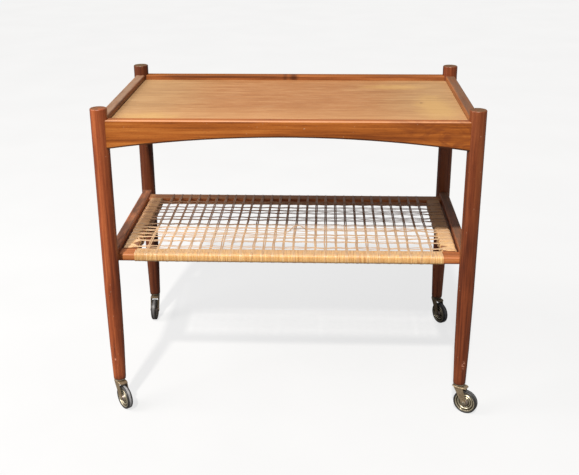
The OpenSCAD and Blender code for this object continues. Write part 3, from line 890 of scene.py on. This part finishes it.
class Caster:
    """One caster's visual parts, placed by the joints of the CAD model."""
    # The sheet: half its outer width, its thickness, and the radii of its bend and its arms' ends
    HALF = 9.8 * MM
    SHEET = 1.6 * MM
    BEND = 2.6 * MM
    BOSS = 5.0 * MM
    # Where the arms' edges meet the plate, how far it goes past them, and how far its lip droops
    ARM_REAR, ARM_FRONT = -9.0 * MM, 11.0 * MM
    PLATE_REAR, PLATE_FRONT = 3.0 * MM, 7.0 * MM
    LIP = 2.0 * MM
    # How far the plate lies under the leg
    PLATE_DROP = 5.0 * MM
    # The collar on the plate: (radius, height) points in millimetres
    COLLAR = ((4.5, 0.0), (9.3, 0.0), (9.5, 0.3), (9.3, 0.9),
              (8.6, 1.2), (8.2, 2.2), (7.6, 2.6), (4.5, 2.6))
    # The wheel: the radius of its bore, and how thick its tyre is
    BORE = 2.55 * MM
    TYRE = 4.0 * MM
    # The two rings pressed into the disc: the radius, width and height of each
    RINGS = ((10.4 * MM, 1.0 * MM, 1.5 * MM), (15.0 * MM, 1.6 * MM, 1.9 * MM))
    # The tyre's rounded edge: its radius, and how high its centre lies
    BEAD, BEAD_HEIGHT = 2.6 * MM, 3.4 * MM
    # How high above the wheel's middle the points on the tread lie, in millimetres, and its groove
    TREAD = (3.1, 2.8, 2.6, 2.4, 2.2, 2.0, 1.7, 1.0, 0.3)
    GROOVE = 2.4

    def __init__(self, corner):
        joints = {joint["name"]: joint for joint in frame["record"]["behaviour"]["joints"]}
        swivel = Vector(joints[corner + "_swivel_turn"]["pos_m"])
        roll = joints[corner + "_wheel_roll"]
        axle, axis = Vector(roll["pos_m"]), Vector(roll["axis"])
        self.corner = corner
        self.axle_z = axle.z
        self.disc_radius = axle.z - self.TYRE
        self.trail = math.hypot(axle.x - swivel.x, axle.y - swivel.y)
        self.plate_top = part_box(corner + "_leg")[0].z - self.PLATE_DROP
        turn = math.atan2(-axis.x, axis.y)
        stem = Matrix.Translation((swivel.x, swivel.y, 0.0))
        self.under_leg = stem @ Matrix.Rotation(turn, 4, "Z")
        self.on_axle = Matrix.Translation(axle) @ axis.to_track_quat("Z", "Y").to_matrix().to_4x4()

    def edge_of_arm(self, start, side):
        """The arm's edge at each height: straight down from the plate, then round the axle."""
        to_start = Vector((start - self.trail, self.plate_top - self.axle_z))
        angle = math.atan2(to_start.y, to_start.x) + side * math.acos(self.BOSS / to_start.length)
        to_touch = self.BOSS * Vector((math.cos(angle), math.sin(angle)))
        touch = Vector((self.trail, self.axle_z)) + to_touch

        def edge(z):
            if z > touch.y:
                share = (z - touch.y) / (self.plate_top - touch.y)
                return touch.x + (start - touch.x) * share
            return self.trail - side * math.sqrt(max(self.BOSS ** 2 - (z - self.axle_z) ** 2, 0.0))
        return edge

    def hood_mesh(self):
        """One sheet folded into a top plate and two arms that narrow down to the axle."""
        flat = self.HALF - self.BEND
        half_rows = [(flat * k / 4, self.plate_top) for k in range(5)]
        for k in range(1, 7):
            angle = math.radians(15.0 * k)
            drop = self.BEND * (1 - math.cos(angle))
            half_rows.append((flat + self.BEND * math.sin(angle), self.plate_top - drop))
        arm_top = self.plate_top - self.BEND
        half_rows += [(self.HALF, arm_top + (self.axle_z - arm_top) * k / 12)
                      for k in range(1, 13)]
        below_axle = (self.BOSS * math.sin(math.radians(14.0 * k)) for k in range(1, 7))
        half_rows += [(self.HALF, self.axle_z - drop) for drop in below_axle]
        rows = [(-y, z) for y, z in reversed(half_rows[1:])] + half_rows
        rear_edge = self.edge_of_arm(self.ARM_REAR, 1)
        front_edge = self.edge_of_arm(self.ARM_FRONT, -1)
        columns = 20
        points, faces = [], []
        for y, z in rows:
            on_plate = 1.0 - smooth(abs(y), flat, self.HALF)
            low = rear_edge(z) - self.PLATE_REAR * on_plate
            high = front_edge(z) + self.PLATE_FRONT * on_plate
            for k in range(columns + 1):
                x = low + (high - low) * k / columns
                lip = self.LIP * smooth(x, self.ARM_FRONT, self.ARM_FRONT + 6.0 * MM)
                points.append((x, y, z - lip * on_plate))
        for i in range(len(rows) - 1):
            for k in range(columns):
                a = i * (columns + 1) + k
                faces.append((a, a + 1, a + columns + 2, a + columns + 1))
        mesh = bpy.data.meshes.new(self.corner + "_hood")
        mesh.from_pydata(points, [], faces)
        return mesh

    def add_hood(self, material):
        """The folded sheet over the wheel and the collar on it, in place of the CAD fork."""
        node = self.corner + "_caster_fork"
        hood = make_piece(self.corner + "_hood", self.hood_mesh(), material,
                          self.corner + "_swivel", [node])
        if max(hood.data.polygons, key=lambda face: face.center.z).normal.z < 0.0:
            hood.data.flip_normals()
        hood.matrix_world = self.under_leg
        sheet = hood.modifiers.new("sheet", "SOLIDIFY")
        sheet.thickness, sheet.offset = self.SHEET, -1.0
        edges = hood.modifiers.new("edges", "BEVEL")
        edges.width, edges.segments, edges.limit_method = 0.35 * MM, 2, "ANGLE"
        name = self.corner + "_collar"
        outline = [(r * MM, self.plate_top + h * MM) for r, h in self.COLLAR]
        collar = make_piece(name, turned_mesh(name, outline), material,
                            self.corner + "_swivel", [node])
        collar.matrix_world = self.under_leg

    def add_wheel(self, disc_material, tyre_material):
        """The pressed disc with its boss and rings, and the tyre around it."""
        outer, disc_r = self.axle_z, self.disc_radius
        half = []
        for k in range(80):
            # A flat disc with a boss, two pressed rings and a raised rim
            r = self.BORE + (disc_r - self.BORE) * k / 79
            height = 2.2 * MM + 5.6 * MM * (1.0 - smooth(r, 6.0 * MM, 8.4 * MM))
            for middle, width, rise in self.RINGS:
                height += rise * bell(r, middle, width)
            height += 2.6 * MM * smooth(r, disc_r - 3.0 * MM, disc_r - 1.7 * MM)
            half.append((r, height))
        self.add_turned("disc", mirrored(half), disc_material, "wheel_disc")
        half = [(disc_r + 0.02 * MM, 5.1 * MM), (disc_r + 0.5 * MM, 5.8 * MM)]
        for angle in (math.radians(10.0 * k) for k in range(10)):
            r = outer - self.BEAD * (1.0 - math.sin(angle))
            half.append((r, self.BEAD_HEIGHT + self.BEAD * math.cos(angle)))
        half += [(outer - 0.3 * MM * bell(z, self.GROOVE, 0.35), z * MM) for z in self.TREAD]
        self.add_turned("tread", mirrored(half), tyre_material, "tyre")

    def add_turned(self, name, outline, material, node):
        """A piece of the wheel, turned from its outline, in place of a CAD node."""
        name = self.corner + "_" + name
        piece = make_piece(name, turned_mesh(name, outline), material,
                           self.corner + "_wheel", [self.corner + "_" + node])
        piece.matrix_world = self.on_axle


def add_casters():
    """The metal and rubber of the casters, their hoods and wheels, and the tray's screws."""
    steel = metal("screw_steel", srgb(150, 148, 142), srgb(196, 194, 188), 0.35, srgb(96, 88, 76))
    use(["tray_screws"], steel)
    # Painted shade: the rear casters' metals are darker copies of the front ones
    for end, shade in CASTER_PAINTED_SHADE.items():
        brass = metal(end + "_caster_brass", srgb(142, 122, 94), srgb(204, 182, 150), 0.40,
                      srgb(84, 70, 52), 0.5, shade)
        nickel = metal(end + "_caster_nickel", srgb(128, 118, 100), srgb(196, 186, 166), 0.36,
                       srgb(74, 64, 52), 0.6, shade)
        disc_metal = wheel_metal(end)
        for corner in (end + "_left", end + "_right"):
            use([corner + part for part in ("_caster_socket", "_caster_stem", "_axle")], nickel)
            caster = Caster(corner)
            caster.add_hood(brass.material)
            caster.add_wheel(disc_metal, rubber(corner))


add_camera()
add_studio()
dress_frame()
add_cane()
add_casters()
